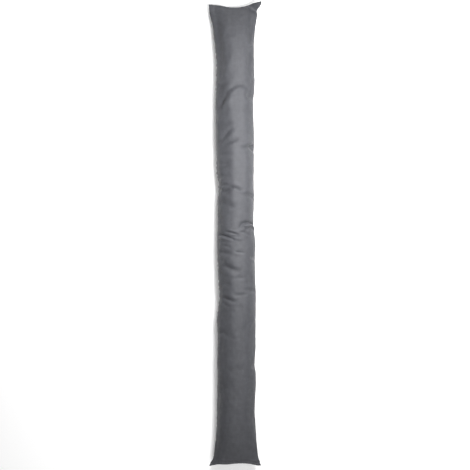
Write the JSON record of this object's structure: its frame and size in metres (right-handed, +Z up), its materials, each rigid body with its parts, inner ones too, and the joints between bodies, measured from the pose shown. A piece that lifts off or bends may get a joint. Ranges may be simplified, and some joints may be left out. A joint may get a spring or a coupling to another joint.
{
  "type": "draught excluder",
  "caption": "Long cloth tube stuffed with fibre and sewn flat at both ends, which lies along the foot of a door to stop draughts.",
  "frame": {"origin": "middle of the tube's box, on the surface it rests on", "axes": "+X along the tube, +Y across it towards the side that faces the door, where the lengthwise seam is, +Z up"},
  "size_m": [0.9, 0.103, 0.0531],
  "materials": {
    "grey_cloth": "closely woven charcoal grey cotton cloth, matt, with a faint nap"
  },
  "bodies": {
    "root": {"stuffed_case": "grey_cloth"}
  },
  "joints": []
}
